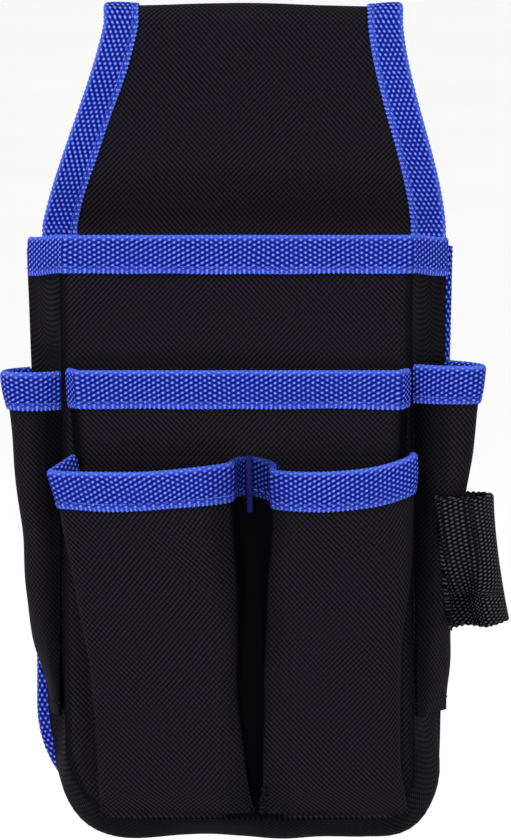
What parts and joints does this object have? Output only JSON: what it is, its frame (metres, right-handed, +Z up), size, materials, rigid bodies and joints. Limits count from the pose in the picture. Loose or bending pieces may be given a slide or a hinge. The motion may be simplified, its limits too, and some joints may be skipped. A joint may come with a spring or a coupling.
{
  "type": "electrician tool pouch",
  "caption": "Tapered belt-hung cloth tool pouch with a box pocket, layered front pockets, side pockets and a webbing tool loop.",
  "frame": {"origin": "inside top of the belt tunnel, where the belt's top edge bears, on the pouch's middle", "axes": "+Z up, +Y towards the wearer, pockets face -Y, +X to the viewer's right when the pockets are looked at"},
  "size_m": [0.1836, 0.0635, 0.2999],
  "materials": {
    "black_cloth": "matte coated Oxford weave",
    "blue_tape": "satin woven binding tape",
    "black_webbing": "ribbed webbing",
    "stiffener": "matte sheet",
    "blue_thread": "satin thread"
  },
  "bodies": {
    "hanger": {"hanger_cloth": "black_cloth", "hanger_binding_left": "blue_tape", "hanger_binding_right": "blue_tape", "belt_flap_binding": "blue_tape"},
    "pouch": {"back_lining": "black_cloth", "back_stiffener_board": "stiffener", "back_outer_cloth": "black_cloth", "back_binding": "blue_tape", "main_gusset": "black_cloth", "main_front_panel": "black_cloth", "main_pocket_binding": "blue_tape", "middle_pocket_panel": "black_cloth", "middle_pocket_binding": "blue_tape", "left_side_pocket": "black_cloth", "left_side_pocket_binding": "blue_tape", "right_side_pocket": "black_cloth", "right_side_pocket_binding": "blue_tape", "front_pocket_left": "black_cloth", "front_pocket_binding_left": "blue_tape", "front_pocket_right": "black_cloth", "front_pocket_binding_right": "blue_tape", "front_pocket_centre_bartack": "blue_thread", "tool_loop_front_tab": "black_webbing", "tool_loop_rear_tab": "black_webbing"},
    "tool_loop": {"tool_loop": "black_webbing"}
  },
  "joints": [
    {"name": "pouch_swing", "type": "hinge", "parent": "hanger", "child": "pouch", "pos_m": [0, -0.006, -0.079], "axis": [-1, 0, 0], "range_deg": [0, 60]},
    {"name": "tool_loop_swing", "type": "hinge", "parent": "pouch", "child": "tool_loop", "pos_m": [0.0825, -0.0215, -0.197], "axis": [0, 0, 1], "range_deg": [-18, 18]}
  ]
}
